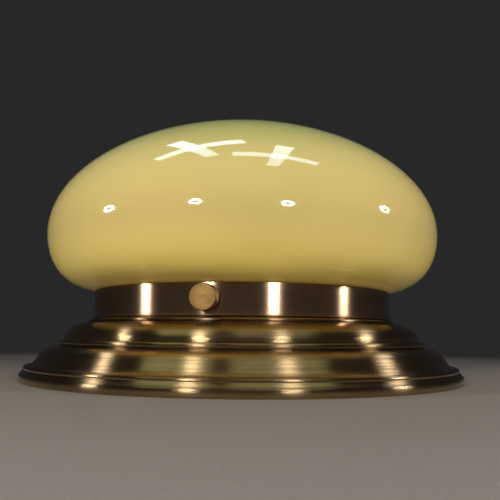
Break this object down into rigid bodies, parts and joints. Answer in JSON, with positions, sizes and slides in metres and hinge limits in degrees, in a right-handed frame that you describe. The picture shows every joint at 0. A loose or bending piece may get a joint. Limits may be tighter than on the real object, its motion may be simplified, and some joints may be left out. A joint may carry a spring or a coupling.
{
  "type": "ceiling lamp",
  "caption": "Flush ceiling lamp: stepped brass canopy, brass collar with thumbscrews, opal glass mushroom shade, screw-in bulb in a lampholder on a ceiling strap.",
  "frame": {"origin": "centre of the canopy's rim, on the plane of the ceiling", "axes": "+Z from the ceiling plane to the crown of the shade, the way up in which it was pictured; -Y is the pictured front; in use the lamp is turned over and hangs with +Z down"},
  "size_m": [0.2836, 0.2836, 0.1687],
  "materials": {
    "spun_brass": "spun, lacquered, aged to a brown gold",
    "brushed_brass": "brushed round its girth, lacquered, aged to bronze brown",
    "knob_brass": "turned, with fine lathe rings on the face",
    "bright_brass": "turned, satin",
    "opal_glass": "cased opal, cream yellow, high gloss",
    "stud_steel": "thread rolled, satin",
    "zinc_steel": "zinc plated, satin",
    "black_rubber": "moulded, matt",
    "porcelain": "white glaze",
    "bronze": "spring bronze, satin",
    "frosted_glass": "frosted inside, smooth outside",
    "clear_glass": "clear",
    "black_glass": "black glass insulator",
    "cap_metal": "rolled, satin",
    "block_plastic": "moulded, ivory",
    "brown_wire": "insulated",
    "blue_wire": "insulated",
    "green_wire": "insulated, green and yellow"
  },
  "bodies": {
    "base": {"canopy": "spun_brass", "collar_ring": "brushed_brass", "collar_rivets": "bright_brass", "thread_bushes": "bright_brass", "mounting_strap": "zinc_steel", "canopy_screws": "zinc_steel", "strap_lock_nuts": "zinc_steel", "canopy_washers": "bright_brass", "canopy_cap_nuts": "bright_brass", "cable_grommet": "black_rubber", "earth_screw": "bright_brass", "earth_nut": "zinc_steel", "earth_lug": "zinc_steel", "lampholder_body": "porcelain", "lampholder_shell": "spun_brass", "lampholder_contact": "bronze", "lampholder_screws": "zinc_steel", "terminal_block": "block_plastic", "terminal_inserts": "bright_brass", "terminal_screws": "zinc_steel", "terminal_block_screw": "zinc_steel", "live_wire": "brown_wire", "neutral_wire": "blue_wire", "earth_wire": "green_wire"},
    "shade": {"glass_shade": "opal_glass"},
    "bulb_foot": {"bulb_contact": "bronze"},
    "bulb": {"bulb_glass": "frosted_glass", "bulb_cap": "cap_metal", "bulb_insulator": "black_glass", "bulb_stem": "clear_glass", "bulb_filament": "cap_metal"},
    "stud_1": {"thumbscrew_stud_1": "stud_steel"},
    "knob_1": {"thumbscrew_knob_1": "knob_brass"},
    "stud_2": {"thumbscrew_stud_2": "stud_steel"},
    "knob_2": {"thumbscrew_knob_2": "knob_brass"},
    "stud_3": {"thumbscrew_stud_3": "stud_steel"},
    "knob_3": {"thumbscrew_knob_3": "knob_brass"}
  },
  "joints": [
    {"name": "shade_lift", "type": "slide", "parent": "base", "child": "shade", "axis": [0, 0, 1], "range_m": [0, 0.1]},
    {"name": "stud_slide_1", "type": "slide", "parent": "base", "child": "stud_1", "axis": [-0.1822, -0.9833, 0], "range_m": [-0.00281, 0.00281]},
    {"name": "knob_turn_1", "type": "hinge", "parent": "stud_1", "child": "knob_1", "pos_m": [-0.01859, -0.10029, 0.0476], "axis": [-0.1822, -0.9833, 0], "range_deg": [-1440, 1440]},
    {"name": "stud_slide_2", "type": "slide", "parent": "base", "child": "stud_2", "axis": [0.9426, 0.3338, 0], "range_m": [-0.00281, 0.00281]},
    {"name": "knob_turn_2", "type": "hinge", "parent": "stud_2", "child": "knob_2", "pos_m": [0.09615, 0.03405, 0.0476], "axis": [0.9426, 0.3338, 0], "range_deg": [-1440, 1440]},
    {"name": "stud_slide_3", "type": "slide", "parent": "base", "child": "stud_3", "axis": [-0.7604, 0.6494, 0], "range_m": [-0.00281, 0.00281]},
    {"name": "knob_turn_3", "type": "hinge", "parent": "stud_3", "child": "knob_3", "pos_m": [-0.07756, 0.06624, 0.0476], "axis": [-0.7604, 0.6494, 0], "range_deg": [-1440, 1440]},
    {"name": "bulb_rise", "type": "slide", "parent": "base", "child": "bulb_foot", "axis": [0, 0, 1], "range_m": [0, 0.01449]},
    {"name": "bulb_turn", "type": "hinge", "parent": "bulb_foot", "child": "bulb", "pos_m": [0, 0, 0.04], "axis": [0, 0, 1], "range_deg": [0, 1440]}
  ],
  "couplings": [
    {"joint": "stud_slide_1", "follows": "knob_turn_1", "m_per_rad": 0.00011141},
    {"joint": "stud_slide_2", "follows": "knob_turn_2", "m_per_rad": 0.00011141},
    {"joint": "stud_slide_3", "follows": "knob_turn_3", "m_per_rad": 0.00011141},
    {"joint": "bulb_rise", "follows": "bulb_turn", "m_per_rad": 0.00057614}
  ]
}
